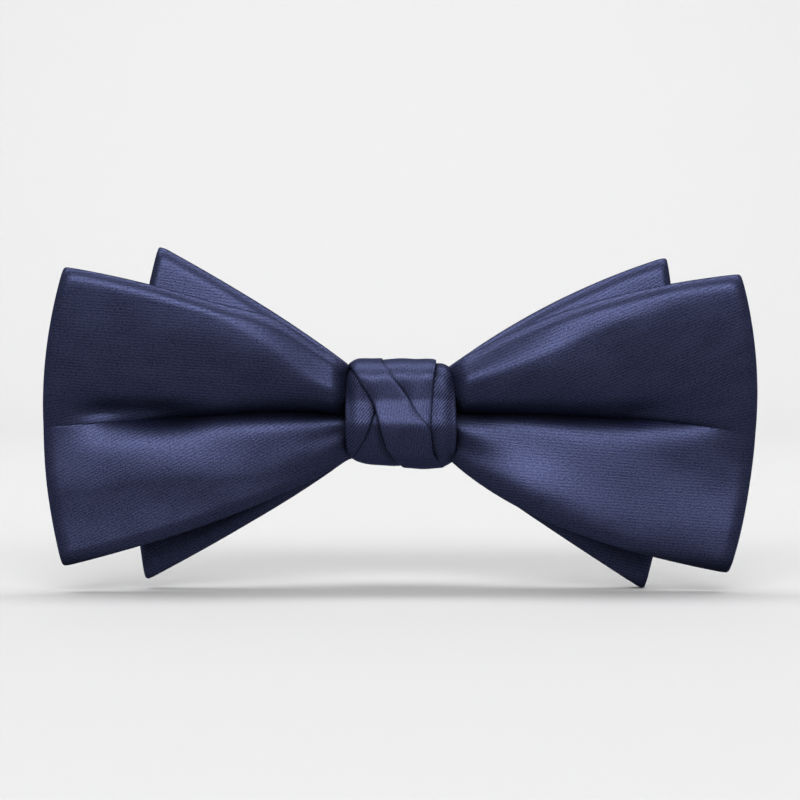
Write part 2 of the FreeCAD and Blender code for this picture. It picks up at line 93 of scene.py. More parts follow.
# Shape of each bow. centre_y is where its middle stands and lean how much further back its wings do. half_gap
# is half the space between its two panels where a wing is fullest, and fold the same at the outer edge. depth
# is how deep the crease is pressed. follow is how far the rear panel follows the front one.
#
# Shape of each wing, by side (-1 left, 1 right). top and bottom give each edge's middle handle and outer end,
# of a Bezier curve from the waist. bow is how far the outer edge bulges and hump how far the top edge lifts
# near the knot. crease and soft list (|X|, Z) along the sharp crease and the soft valley above it. ends is
# where along the wing the sharp crease fades. ridge is how deep the soft valley is, and ridge_ends where it
# fades.
#
# Shape of the lobes, up above the crease and down below it. rise is how far forward a lobe stands at its
# crest. It climbs by steep, a power, or by start, the share of the climb that is straight. crest is where the
# crest lies between crease and edge, at the knot and further out, and moves where along the wing it shifts.
# fall is the slope beyond the crest, and keeps the share of it left at the outer edge. grows is where the lobe
# is full, and turn how far its cloth is turned, in degrees.
FRONT = {
    "centre_y": -11.2, "half_gap": 2.2, "fold": 1.25, "lean": -0.9, "depth": 3.2, "follow": 0.5,
    -1: {
        "top": ((-26.0, 18.9), (-56.2, 24.2)), "bottom": ((-26.0, -17.5), (-56.6, -25.1)),
        "bow": 3.5, "hump": 1.3,
        "crease": [(8, -0.5), (31, -0.2), (37, -0.7), (48.7, -1.7), (56, -2.2)], "ends": (0.66, 0.92),
        "soft": [(30, 0.5), (37, 1.6), (48.7, 2.8), (56, 3.1)], "ridge": 2.3, "ridge_ends": (0.84, 1.00),
        "up": {"steep": 2.2, "rise": 2.8, "fall": 0.26, "keeps": 0.0, "crest": (0.46, 0.93),
               "moves": (0.05, 0.62), "grows": 0.10, "turn": 15.5},
        "down": {"start": 0.45, "rise": 1.45, "fall": -0.13, "keeps": 1.0, "crest": (0.85, 0.52),
                 "moves": (0.10, 0.80), "grows": 0.35, "turn": 15.5},
    },
    1: {
        "top": ((26.5, 19.6), (57.0, 23.0)), "bottom": ((22.0, -20.0), (55.2, -26.3)),
        "bow": 3.7, "hump": 0.0,
        "crease": [(8, 0.2), (26, -0.1), (33.6, -0.85), (46.9, -1.6), (56.6, -3.4)], "ends": (0.82, 0.98),
        "soft": [(26, 0.7), (39.8, 1.6), (50.4, 2.2), (57, 2.3)], "ridge": 2.0, "ridge_ends": (0.66, 0.94),
        "up": {"steep": 2.2, "rise": 2.8, "fall": 0.32, "keeps": 0.3, "crest": (0.47, 0.85),
               "moves": (0.0, 0.85), "grows": 0.10, "turn": 11.0},
        "down": {"start": -0.9, "rise": 2.6, "fall": 0.30, "keeps": 0.2, "crest": (0.90, 1.0),
                 "moves": (0.3, 0.8), "grows": 0.42, "turn": 16.0},
    },
}
REAR_LEVEL = {"crease": [(8, 0), (41, 0)], "soft": [(8, 1), (41, 1)], "ends": (0.6, 1.0), "ridge": 0.0,
              "ridge_ends": (0.8, 1.0), "bow": 3.0, "hump": 0.0}
REAR_UP = {"steep": 2.2, "rise": 1.5, "fall": 0.16, "keeps": 0.9, "crest": (0.4, 0.5), "moves": (0.1, 0.6),
           "grows": 0.15}
REAR_DOWN = {"start": 1.0, "rise": 4.2, "fall": 0.1, "keeps": 0.5, "moves": (0.1, 0.6)}
REAR = {
    "centre_y": -7.1, "half_gap": 1.5, "fold": 1.05, "lean": 3.0, "depth": 3.2, "follow": 1.0,
    -1: {
        **REAR_LEVEL, "top": ((-21.0, 16.8), (-41.3, 27.9)), "bottom": ((-22.0, -16.8), (-43.3, -28.1)),
        "up": {**REAR_UP, "turn": 20.0},
        "down": {**REAR_DOWN, "crest": (0.8, 1.0), "grows": 0.45, "turn": 20.0},
    },
    1: {
        **REAR_LEVEL, "top": ((26.0, 19.8), (45.6, 26.0)), "bottom": ((22.0, -17.2), (41.6, -29.7)),
        "up": {**REAR_UP, "turn": 18.0},
        "down": {**REAR_DOWN, "crest": (0.7, 1.0), "grows": 0.50, "turn": 24.0},
    },
}


# ---- small maths -----------------------------------------------------------------------------------------

def smooth(t):
    """0 before 0, 1 after 1, eased between."""
    t = np.clip(t, 0.0, 1.0)
    return t * t * (3 - 2 * t)


def fade(t, start, end):
    """1 before start, 0 after end."""
    return 1 - smooth((t - start) / (end - start))


def bezier(p0, p1, p2, t):
    """X and Z along a quadratic Bezier curve."""
    a, b, c = (1 - t) ** 2, 2 * t * (1 - t), t * t
    return a * p0[0] + b * p1[0] + c * p2[0], a * p0[1] + b * p1[1] + c * p2[1]


def eased_line(listed, where):
    """Smooth curve through a short list of points, held level beyond its ends."""
    xs, zs = np.array(listed, float).T
    order = min(3, len(xs) - 1)
    return np.polyval(np.polyfit(xs, zs, order), np.clip(where, xs[0], xs[-1]))


# ---- bows ------------------------------------------------------------------------------------------------

def loop_stations():
    """Rows of side, progress and part round a bow, from its seam behind the waist, round the left wing,
    across the front and back round the right wing. Progress is -1 at the middle, 0 at the waist's end and 1 at
    the outer edge. Part is -1 on the front panel and 1 on the rear one."""
    straight = np.concatenate([np.linspace(-0.99, 0.0, 12), np.linspace(0.0, STRAIGHT_END, 96)[1:]])
    turn = np.radians(np.linspace(80, -80, 15))
    rows = []
    for side in (-1, 1):
        wing = [(side, p, 1.0) for p in straight]
        wing += [(side, STRAIGHT_END + EDGE_TURN * math.cos(a), math.sin(a)) for a in turn]
        wing += [(side, p, -1.0) for p in straight[::-1]]
        rows.append(wing)
    return np.array(rows[0] + rows[1][::-1])


LEAST_FALL_WIDTH = 0.12     # of a lobe, so that a crest at the very edge doesn't divide by nothing
OUTER_LOSS = 0.15           # share of its rise that a lobe loses by the outer edge


def lobe(spec, a, reach, t):
    """How far one lobe stands forward, a being 0 at the crease and 1 at the wing's edge."""
    start, end = spec["moves"]
    crest = spec["crest"][0] + (spec["crest"][1] - spec["crest"][0]) * smooth((t - start) / (end - start))
    share = np.clip(a / crest, 0, 1)
    if "steep" in spec:
        rise = 1 - (1 - share) ** spec["steep"]
    else:
        rise = spec["start"] * share + (1 - spec["start"]) * smooth(share ** 1.3)
    past = np.clip((a - crest) / np.maximum(1.0 - crest, LEAST_FALL_WIDTH), 0, 1)
    kept = spec["keeps"] + (1 - spec["keeps"]) * fade(t, 0.2, 1.0)
    falls = spec["fall"] * (1 - crest) * reach * past ** 1.4 * kept
    return smooth(t / spec["grows"]) * (spec["rise"] * rise * (1 - OUTER_LOSS * smooth(t)) - falls)


# Millimetres, but for HUMP_AT, HUMP_WIDTH and the pairs in brackets, which are places along a wing, 0 to 1.
WAIST_HALF_GAP = 0.8        # between the panels at the waist
WAIST_CREASE = 2.0          # depth of the crease at the waist
CREASE_EASES = (0.35, 0.8)
REAR_JOINS = (0.08, 0.30)   # the rear panel's crease follows the front's before this, and bow["follow"] after
HUMP_AT, HUMP_WIDTH = 0.34, 0.15
EDGE_ROLL, EDGE_BAND = 0.7, 1.5     # how far back an edge rolls, and over what width
EDGE_BACK = 1.2             # how far back both edges stand near the knot
PUCKER, PUCKER_FADES = 0.15, (0.08, 0.42)
DRAPE, DRAPE_FADES = 0.09, (0.7, 1.0)


def wing_surface(bow, side, progress, part, v):
    """Middle surface of a ply, as an array of points, for one wing."""
    wing = bow[side]
    t = np.maximum(progress, 0.0)

    # outline and crease line
    top = bezier((side * WAIST_X, WAIST_Z), *wing["top"], t)
    bottom = bezier((side * WAIST_X, -WAIST_Z), *wing["bottom"], t)
    top = (top[0], top[1] + wing["hump"] * np.exp(-((t - HUMP_AT) / HUMP_WIDTH) ** 2))
    middle, half_height = (top[1] + bottom[1]) / 2, (top[1] - bottom[1]) / 2
    out = np.abs(top[0] + bottom[0]) / 2
    crease_z = eased_line(wing["crease"], out)
    v = v + (crease_z - middle) / half_height * (1 - v * v)
    share = (v + 1) / 2
    x = bottom[0] + (top[0] - bottom[0]) * share + side * wing["bow"] * t * t * (1 - v * v)
    x = x + side * WAIST_X * np.minimum(progress, 0.0)
    z = bottom[1] + (top[1] - bottom[1]) * share
    above = z - crease_z
    reach = np.where(above > 0, top[1] - crease_z, crease_z - bottom[1])
    a = np.abs(above) / reach

    # half the space between the panels
    swell = np.maximum(np.sin(np.pi * np.minimum(t, 1.0)), 0.0) ** 1.5 * (1 - 0.5 * v * v)
    half = WAIST_HALF_GAP + (bow["fold"] - WAIST_HALF_GAP) * smooth(t * 1.6)
    half = half + (bow["half_gap"] - bow["fold"]) * swell

    # the sharp crease
    front = np.where(part < 0, 1.0, bow["follow"])
    deepens = WAIST_CREASE + (bow["depth"] - WAIST_CREASE) * smooth(t * 5)
    sharp = deepens * (0.45 + 0.55 * fade(t, *CREASE_EASES)) * fade(t, *wing["ends"])
    narrows = smooth((t - 0.30) * 3)
    width = np.where(above > 0, 2.3 - 1.6 * narrows, 1.2 + 0.6 * narrows)
    sharp = sharp * np.exp(-np.hypot(above, 0.2) / width) * (front + (1 - front) * fade(t, *REAR_JOINS))

    # the soft valley above it, which parts from it further out
    split = eased_line(wing["soft"], out) - crease_z
    beyond = above - 0.5 * split
    shallow = np.where(beyond > 0, np.exp(-(beyond / 2.4) ** 2), 0.4 + 0.6 * np.exp(-(beyond / 2.0) ** 2))
    shallow = shallow * np.where(above < 0, np.exp(-(above / 3.2) ** 2), 1.0) * smooth(split / 2.6)
    valley = wing["ridge"] * smooth((t - 0.26) / 0.3) * fade(t, *wing["ridge_ends"]) * front * shallow

    lobes = np.where(above > 0, lobe(wing["up"], a, reach, t), lobe(wing["down"], a, reach, t)) * front
    edge = EDGE_ROLL * smooth((a * reach - (reach - EDGE_BAND)) / EDGE_BAND) ** 2 * smooth(t * 6) * front
    pucker = PUCKER * fade(t, *PUCKER_FADES) * smooth(t * 12) * front * np.cos(v * 12.0 + 1.3 * side)
    waves = DRAPE * np.sin(above * 0.50 + 0.13 * x + side) * np.sin(0.10 * x + 1.3)
    drape = waves * smooth(t * 4) * fade(t, *DRAPE_FADES)
    y = bow["centre_y"] + bow["lean"] * smooth(t * 2.0) + part * half
    y = y + sharp + valley - lobes + edge + pucker + drape + EDGE_BACK * v * v * fade(t, 0.0, 0.65)
    return np.stack([x, y, z], axis=-1)


def bow_grid(bow):
    """Points of the middle surface of a bow's strip."""
    stations = loop_stations()
    even = np.linspace(-1, 1, LOOP_ROWS)
    v = np.sign(even) * np.abs(even) ** CREASE_CROWDING
    progress, part = stations[:, 1][:, None], stations[:, 2][:, None]
    halves = [wing_surface(bow, side, progress, part, v[None, :]) for side in (-1, 1)]
    return np.where((stations[:, 0] < 0)[:, None, None], halves[0], halves[1])


def cloth_on_bow(bow, corners):
    """The cloth's own coordinates at the corners of a bow's faces. Each lobe is one flat piece of cloth,
    turned about the crease, which swallows the wedge between them."""
    centre = corners.mean(axis=1)
    turn = np.zeros(len(centre))
    for side in (-1, 1):
        wing = bow[side]
        out = np.abs(centre[:, 0])
        here = centre[:, 0] * side > 0
        above = centre[:, 2] > np.maximum(eased_line(wing["soft"], out), eased_line(wing["crease"], out))
        below = centre[:, 2] < eased_line(wing["crease"], out)
        turn[here & above] = side * wing["up"]["turn"]
        turn[here & below] = -side * wing["down"]["turn"]
    c, s = np.cos(np.radians(turn))[:, None], np.sin(np.radians(turn))[:, None]
    x, z = corners[..., 0], corners[..., 2]
    return np.stack([c * x + s * z, c * z - s * x], axis=-1)


def grid_normals(points, wrap=False):
    """Normals of a grid of points, each of unit length."""
    along = np.gradient(points, axis=0)
    if wrap:
        along = (np.roll(points, -1, axis=0) - np.roll(points, 1, axis=0)) / 2
    across = np.gradient(points, axis=1)
    normals = np.cross(along, across)
    return normals / np.linalg.norm(normals, axis=-1, keepdims=True)


def thick_strip(points, half, wrap, cloth):
    """Closed shell of a strip of cloth, 2 * half thick, with folded round edges along its two sides. The
    strip runs along the first axis of points, and joins up with itself if wrap is true. cloth gives the
    cloth's coordinates from the faces' corners and their places in the grid. Returns points, faces and
    coordinates."""
    normals = grid_normals(points, wrap)
    across = np.gradient(points, axis=1)
    across /= np.linalg.norm(across, axis=-1, keepdims=True)
    rows = points.shape[1]
    caps = np.pi * np.arange(1, CAP_STEPS) / CAP_STEPS
    ring = [points + half * normals]
    place = [np.arange(rows, dtype=float)]
    for row, sign in ((-1, 1), (0, -1)):
        turned = np.cos(caps)[None, :, None] * sign * normals[:, row][:, None]
        turned = turned + sign * np.sin(caps)[None, :, None] * across[:, row][:, None]
        ring.append(points[:, row][:, None] + half * turned)
        place.append(np.full(len(caps), row % rows) + sign * caps * half)
        if row:
            ring.append((points - half * normals)[:, ::-1])
            place.append(np.arange(rows, dtype=float)[::-1])
    ring, place = np.concatenate(ring, axis=1), np.concatenate(place)
    length, around = ring.shape[:2]
    i, j = np.meshgrid(np.arange(length if wrap else length - 1), np.arange(around), indexing="ij")
    n, m = (i + 1) % length, (j + 1) % around
    quads = np.stack([i * around + j, i * around + m, n * around + m, n * around + j], axis=-1).reshape(-1, 4)
    flat = ring.reshape(-1, 3)
    along = np.stack([i, i, i + 1, i + 1], axis=-1).reshape(-1, 4)
    uv = cloth(flat[quads], along, place[quads % around])
    faces, coordinates = quads.tolist(), uv.reshape(-1, 2)
    if not wrap:
        ends = [list(range(around))[::-1], list(range((length - 1) * around, length * around))]
        faces += ends
        coordinates = np.concatenate([coordinates] + [flat[end][:, [0, 2]] for end in ends])
    return flat, faces, coordinates


def build(name, points, faces, coordinates, material, slot, flat_grain=True, rides=True):
    """A smooth-shaded piece of the tie, in metres, with the cloth's coordinates in millimetres as the UV map
    "cloth". The UV map "grain" gives the direction of its anisotropic shine: along the tie, or along the
    cloth."""
    mesh = bpy.data.meshes.new(name)
    mesh.from_pydata((points * MM).tolist(), [], faces)
    layer = mesh.uv_layers.new(name="cloth")
    layer.data.foreach_set("uv", np.asarray(coordinates, np.float32).ravel())
    grain = mesh.uv_layers.new(name="grain")
    order = np.concatenate([np.array(face) for face in faces])
    grain.data.foreach_set("uv", np.asarray(points[order][:, [0, 2]] if flat_grain else coordinates,
                                            np.float32).ravel())
    mesh.polygons.foreach_set("use_smooth", [True] * len(mesh.polygons))
    mesh.materials.append(MATERIALS[material])
    mesh.update()
    obj = bpy.data.objects.new(name, mesh)
    bpy.context.scene.collection.objects.link(obj)
    if rides:
        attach(obj, "tie")
    return obj


def make_bow(name, bow, material):
    """One bow: a closed shell of lined satin with the interlining inside it."""
    points = bow_grid(bow)

    def where(corners, along, place):
        return cloth_on_bow(bow, corners)

    shell = thick_strip(points, SATIN_HALF, False, where)
    satin_piece = build(name + "_satin", *shell, material, "navy_satin")
    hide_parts(name + "_satin_face", name + "_satin_lining")
    # The interlining is cut 4 rows short at the seam and 3 rows short of each edge.
    shell = thick_strip(points[4:-4, 3:-3], INTERLINING_HALF, False, where)
    stiffener = build(name + "_stiffener", *shell, "interlining", "interlining")
    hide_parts(name + "_interlining")


# ---- knot ------------------------------------------------------------------------------------------------

# The felt pad and the strips: layer is how many layers out each lies, thick its thickness if not STRIP_T, and
# sink how far its top is pressed in. left and right list (Z, X) of its edges down the front. Behind the knot
# the edges run straight between the ends of these lists.
STRIPS = {
    "knot_pad": {
        "cloth": "felt", "slot": "felt", "thick": 0.35, "layer": -0.7,
        "left": [(9, -8.2), (-9, -8.2)],
        "right": [(9, 8.2), (-9, 8.2)],
    },
    "knot_strip_base": {
        "cloth": "knot_wrap", "layer": 0,
        "left": [(9, -8.9), (-9, -8.7)],
        "right": [(9, 9.0), (-9, 9.1)],
    },
    "knot_strip_left": {
        "cloth": "knot_band", "layer": 1,
        "left": [(9, -8.8), (4, -9.1), (0, -9.0), (-5, -8.9), (-9, -9.0)],
        "right": [(9, -3.0), (2, -3.6), (0.7, -4.2), (-4.0, -6.1), (-7.8, -8.3), (-9, -8.7)],
    },
    "knot_strip_right": {
        "cloth": "knot_band", "layer": 1, "sink": 0.4,
        "left": [(9, 3.0), (-9, 3.4)],
        "right": [(9, 8.9), (4, 9.2), (-4, 9.3), (-9, 9.0)],
    },
    "knot_strip_upper": {
        "cloth": "knot_wrap", "layer": 2,
        "left": [(9, -4.5), (3, -1.0), (-3, 2.8), (-9, 4.4)],
        "right": [(9, 5.9), (6.5, 5.5), (-2, 5.0), (-9, 5.2)],
    },
    "knot_strip_crossing": {
        "cloth": "knot_wrap", "layer": 3,
        "left": [(9, -8.2), (4.2, -5.4), (2.1, -4.3), (-1.2, -3.4), (-5.7, -1.9), (-9, 1.0)],
        "right": [(9, -3.2), (5.5, -0.8), (3, 1.1), (0.3, 2.6), (-2.4, 4.9), (-6.5, 5.4), (-9, 7.6)],
    },
}
KNOT_SQUARENESS = 3.2       # exponent of the knot's section: 2 is an ellipse
KNOT_CHEST = 1.5            # how far the knot's lower front stands out
KNOT_BROW = 0.5             # and the roll at its top
STRIP_STEPS, STRIP_COLUMNS = 220, 26
UNDER_PRESS = 0.62          # share of the layers' height that is pressed out underneath
PILLOW, SIDE_TUCK, STRIP_CREASE = 0.16, 0.65, 0.06
PATTERN_STEP = 31.0         # cloth between one layer and the next, so that their twills don't line up
STRAP_SQUARENESS = 5
STRAP_STEP = 0.18           # cloth from one row of the strap to the next


def knot_section(angle, grow):
    """Point of the knot's rounded section, from the front middle over the top, and how far it is grown."""
    power = 2 / KNOT_SQUARENESS
    c, s = np.cos(angle), np.sin(angle)
    y = KNOT_MIDDLE_Y - (KNOT_HALF_Y + grow) * np.sign(c) * np.abs(c) ** power
    z = (KNOT_HALF_Z + grow) * np.sign(s) * np.abs(s) ** power
    chest = KNOT_CHEST * smooth((2.8 - z) / 5.2) * fade(-z, 1.0, 7.5)
    forward = chest + KNOT_BROW * np.exp(-((z - 7.0) / 2.2) ** 2)
    return y - forward * np.clip(c, 0, 1) ** 0.5, z


def edge_at(listed, z, behind):
    """X of a strip's edge, eased between its listed points in front and running straight behind."""
    zs = np.array([p[0] for p in listed][::-1], float)
    xs = np.array([p[1] for p in listed][::-1], float)
    if len(zs) > 3:
        fine = np.linspace(zs[0], zs[-1], 60)
        eased = np.interp(fine, zs, xs)
        for _ in range(5):
            eased[1:-1] = (eased[:-2] + 2 * eased[1:-1] + eased[2:]) / 4
        zs, xs = fine, eased
    straight = xs[0] + (xs[-1] - xs[0]) * (z - zs[0]) / (zs[-1] - zs[0])
    return np.where(behind, straight, np.interp(z, zs, xs))


def knot_strip(name, spec):
    """One strip right round the knot, or the felt pad under them."""
    angle = np.linspace(0, 2 * math.pi, STRIP_STEPS, endpoint=False)
    low = spec["layer"] * STRIP_PITCH
    pressed = 1 - UNDER_PRESS * smooth((-np.sin(angle) - 0.5) / 0.35)
    low = low * np.where(low > 0, pressed, 1.0)
    y, z = knot_section(angle, low)
    behind = np.cos(angle) < 0
    left = edge_at(spec["left"], z, behind)
    right = edge_at(spec["right"], z, behind)
    w = np.linspace(-1, 1, STRIP_COLUMNS)
    x = left[:, None] + (right - left)[:, None] * (w[None, :] + 1) / 2
    pillow = PILLOW * (1 - w[None, :] ** 4)
    tuck = -SIDE_TUCK * smooth((np.abs(x) - 7.0) / 2.2)
    crease = STRIP_CREASE * np.sin(1.3 * x + 3.4 * np.sin(angle)[:, None] + 2.0 * spec["layer"])
    sink = spec.get("sink", 0.0) * smooth((z - 3.5) / 4.0)[:, None]
    grow = low[:, None] + pillow + tuck + crease - sink - STRIP_T / 2
    y, z = knot_section(angle[:, None], grow)
    lower_top_left = smooth(z / 8) * (0.45 * smooth((-x - 1.5) / 4))
    lower_underside = 0.75 * smooth(-z / 8) * smooth((x + 9) / 6)
    z = z - lower_top_left - lower_underside
    points = np.stack([x, y, z], axis=-1)
    middle = points[:, STRIP_COLUMNS // 2]
    steps = np.linalg.norm(np.roll(middle, -1, axis=0) - middle, axis=1)
    travelled = np.concatenate([[0], np.cumsum(steps)]) + PATTERN_STEP * spec["layer"]

    def cloth(corners, along, place):
        return np.stack([travelled[along], corners[..., 0]], axis=-1)

    shell = thick_strip(points, spec.get("thick", STRIP_T) / 2, True, cloth)
    strip = build(name + "_wrap", *shell, spec["cloth"], spec.get("slot", "navy_satin"), flat_grain=False)
    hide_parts(name)
    return strip


# ---- strap and spring ------------------------------------------------------------------------------------

def make_strap():
    """Satin strap sewn to the knot and looped through the clip plate's slots."""
    low, high = [np.array(c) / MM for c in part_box("clip_strap")]
    half = 0.22
    middle, reach = (low + high)[1:] / 2, (high - low)[1:] / 2 - half - 0.02
    angle = np.linspace(0, 2 * math.pi, 96, endpoint=False)
    c, s = np.cos(angle), np.sin(angle)
    w = np.linspace(-1, 1, 18)
    power = 2 / STRAP_SQUARENESS
    y = middle[0] - reach[0] * np.sign(c) * np.abs(c) ** power
    z = middle[1] + reach[1] * np.sign(s) * np.abs(s) ** power
    x = np.broadcast_to(w[None, :] * (high[0] - half), (len(angle), len(w)))
    y, z = np.broadcast_to(y[:, None], x.shape), np.broadcast_to(z[:, None], x.shape)
    points = np.stack([x, y, z], axis=-1)

    def cloth(corners, along, place):
        return np.stack([along * STRAP_STEP, corners[..., 0]], axis=-1)

    strap = build("clip_strap_satin", *thick_strip(points, half, True, cloth), "knot_wrap", "navy_satin",
                  flat_grain=False)
    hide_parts("clip_strap")


def wire(points, radius, sides=14):
    """Points, faces and coordinates of a round wire along a path, with rounded ends."""
    tangent = np.gradient(points, axis=0)
    tangent /= np.linalg.norm(tangent, axis=1, keepdims=True)
    across = np.cross(tangent[0], (0.3, 0.9, 0.2))
    frames = []
    for direction in tangent:
        across = across - direction * np.dot(across, direction)
        across /= np.linalg.norm(across)
        frames.append((across, np.cross(direction, across)))
    caps = np.linspace(0, 0.5 * math.pi, 6)[:-1]
    rings = [(points[0] - tangent[0] * radius * math.cos(a), frames[0], radius * max(math.sin(a), 0.02))
             for a in caps]
    rings += [(p, f, radius) for p, f in zip(points, frames)]
    rings += [(points[-1] + tangent[-1] * radius * math.cos(a), frames[-1], radius * max(math.sin(a), 0.02))
              for a in caps[::-1]]
    angle = np.linspace(0, 2 * math.pi, sides, endpoint=False)
    flat = np.concatenate([p + r * (np.cos(angle)[:, None] * f[0] + np.sin(angle)[:, None] * f[1])
                           for p, f, r in rings])
    i, j = np.meshgrid(np.arange(len(rings) - 1), np.arange(sides), indexing="ij")
    m = (j + 1) % sides
    faces = np.stack([i * sides + j, (i + 1) * sides + j, (i + 1) * sides + m, i * sides + m], axis=-1)
    faces = faces.reshape(-1, 4).tolist()
    faces += [list(range(sides)), list(range(len(flat) - 1, len(flat) - sides - 1, -1))]
    coordinates = np.concatenate([flat[face][:, [0, 2]] for face in faces])
    return flat, faces, coordinates


def make_spring():
    """Torsion spring coiled round the hinge pin: one leg rests on the plate, the other on the lever's tab."""
    pin = (np.array(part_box("clip_hinge_pin")[0]) + np.array(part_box("clip_hinge_pin")[1])) / 2 / MM
    wire_r, coil_r, turns, pitch = 0.28, 1.28, 4.5, 0.72
    reach = turns * pitch / 2
    a = np.linspace(0, 2 * math.pi * turns, int(turns * 40))
    y, z = pin[1] - coil_r * np.cos(a), pin[2] - coil_r * np.sin(a)
    coil = np.stack([-reach + pitch * a / (2 * math.pi), y, z], axis=-1)
    share = np.linspace(0, 1, 14)[:, None]
    on_plate, on_tab = np.array((-reach, 0.45, pin[2] + 2.7)), np.array((reach, 4.7, pin[2] + 2.9))
    plate_leg = on_plate * (1 - share) + coil[0] * share
    tab_leg = coil[-1] * (1 - share) + on_tab * share
    path = np.concatenate([plate_leg[:-1], coil, tab_leg[1:]])
    spring = build("clip_spring_wire", *wire(path, wire_r), "spring", "spring_steel", rides=False)
    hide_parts("clip_torsion_spring")
    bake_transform(spring)


# ---- materials -------------------------------------------------------------------------------------------

FINE_RELIEF, COARSE_RELIEF = 0.00005, 0.0001     # metres of bump


def new_material(name):
    """A material with its nodes, links and shader."""
    material = bpy.data.materials.new(name)
    material.use_nodes = True
    nodes, links = material.node_tree.nodes, material.node_tree.links
    return material, nodes, links, nodes["Principled BSDF"]


def mathnode(nodes, links, operation, a, b=None):
    """Output of a new maths node, whose inputs are numbers or other outputs."""
    node = nodes.new("ShaderNodeMath")
    node.operation = operation
    for socket, value in zip(node.inputs, (a, b)):
        if value is None:
            continue
        if isinstance(value, (int, float)):
            socket.default_value = value
        else:
            links.new(value, socket)
    return node.outputs[0]


def satin(name, pitch, angle, lines, relief, depth, shade):
    """Satin with a fine twill line across the cloth's own coordinates, floats along it, glinting fibres and
    slow mottling, and painted shade in its creases, where ambient occlusion darkens its colour. lines is how
    much the twill shows in the colour, relief how deep the weave's bump is, depth how far in metres the
    painted shade reaches from a fold onto the cloth beside it, and shade how strongly it darkens."""
    material, nodes, links, shader = new_material(name)
    uv = nodes.new("ShaderNodeUVMap")
    uv.uv_map = "cloth"
    split = nodes.new("ShaderNodeSeparateXYZ")
    links.new(uv.outputs[0], split.inputs[0])
    a = math.radians(angle)

    def turned(x, y):
        return mathnode(nodes, links, "ADD", mathnode(nodes, links, "MULTIPLY", split.outputs[0], x),
                        mathnode(nodes, links, "MULTIPLY", split.outputs[1], y))

    def noise(x_scale, y_scale, detail):
        where = nodes.new("ShaderNodeCombineXYZ")
        links.new(mathnode(nodes, links, "MULTIPLY", along, x_scale), where.inputs[0])
        links.new(mathnode(nodes, links, "MULTIPLY", across, y_scale), where.inputs[1])
        node = nodes.new("ShaderNodeTexNoise")
        node.inputs["Scale"].default_value = 1.0
        node.inputs["Detail"].default_value = detail
        links.new(where.outputs[0], node.inputs["Vector"])
        return node.outputs[0]

    across, along = turned(-math.sin(a), math.cos(a)), turned(math.cos(a), math.sin(a))
    wander = mathnode(nodes, links, "MULTIPLY", noise(0.12, 0.5, 2.0), 4.0)
    cycles = mathnode(nodes, links, "MULTIPLY", across, 2 * math.pi / pitch)
    phase = mathnode(nodes, links, "ADD", cycles, wander)
    line = mathnode(nodes, links, "MULTIPLY", mathnode(nodes, links, "SINE", phase), lines)
    floats = mathnode(nodes, links, "MULTIPLY", noise(2.2, 4.6, 2.0), 0.75)
    fibres = mathnode(nodes, links, "MULTIPLY", noise(4.2, 5.2, 3.0), 1.25)
    weave = mathnode(nodes, links, "ADD", line, mathnode(nodes, links, "ADD", floats, fibres))
    mottle = noise(0.16, 0.35, 3.0)
    tone = mathnode(nodes, links, "ADD", weave, mathnode(nodes, links, "MULTIPLY", mottle, 0.22))
    ramp = nodes.new("ShaderNodeValToRGB")
    for stop, position, colour in zip(ramp.color_ramp.elements, (0.70, 1.0), (NAVY_DARK, NAVY_LIGHT)):
        stop.position = position
        stop.color = (*colour, 1)
    links.new(mathnode(nodes, links, "MULTIPLY", tone, 0.78), ramp.inputs[0])
    # painted shade: ambient occlusion darkens the satin's colour in its creases and beside its folds
    painted_crease_shade = nodes.new("ShaderNodeAmbientOcclusion")
    painted_crease_shade.samples = 8
    painted_crease_shade.inputs["Distance"].default_value = depth
    shaded = nodes.new("ShaderNodeVectorMath")
    shaded.operation = "MULTIPLY"
    links.new(ramp.outputs[0], shaded.inputs[0])
    links.new(mathnode(nodes, links, "POWER", painted_crease_shade.outputs["AO"], shade), shaded.inputs[1])
    links.new(shaded.outputs[0], shader.inputs["Base Color"])
    rough = nodes.new("ShaderNodeMapRange")
    for socket, value in (("From Min", 0.35), ("From Max", 0.65), ("To Min", 0.385), ("To Max", 0.445)):
        rough.inputs[socket].default_value = value
    links.new(mottle, rough.inputs["Value"])
    links.new(rough.outputs[0], shader.inputs["Roughness"])
    bump = nodes.new("ShaderNodeBump")
    bump.inputs["Strength"].default_value = relief
    bump.inputs["Distance"].default_value = FINE_RELIEF
    links.new(weave, bump.inputs["Height"])
    links.new(bump.outputs[0], shader.inputs["Normal"])
    tangent = nodes.new("ShaderNodeTangent")
    tangent.direction_type = "UV_MAP"
    tangent.uv_map = "grain"
    links.new(tangent.outputs[0], shader.inputs["Tangent"])
    for socket, value in (("Metallic", 0.70), ("Specular Tint", (0.42, 0.48, 0.9, 1)), ("Anisotropic", 0.35),
                          ("Sheen Weight", 0.015), ("Sheen Tint", (0.4, 0.45, 0.9, 1))):
        shader.inputs[socket].default_value = value
    return material


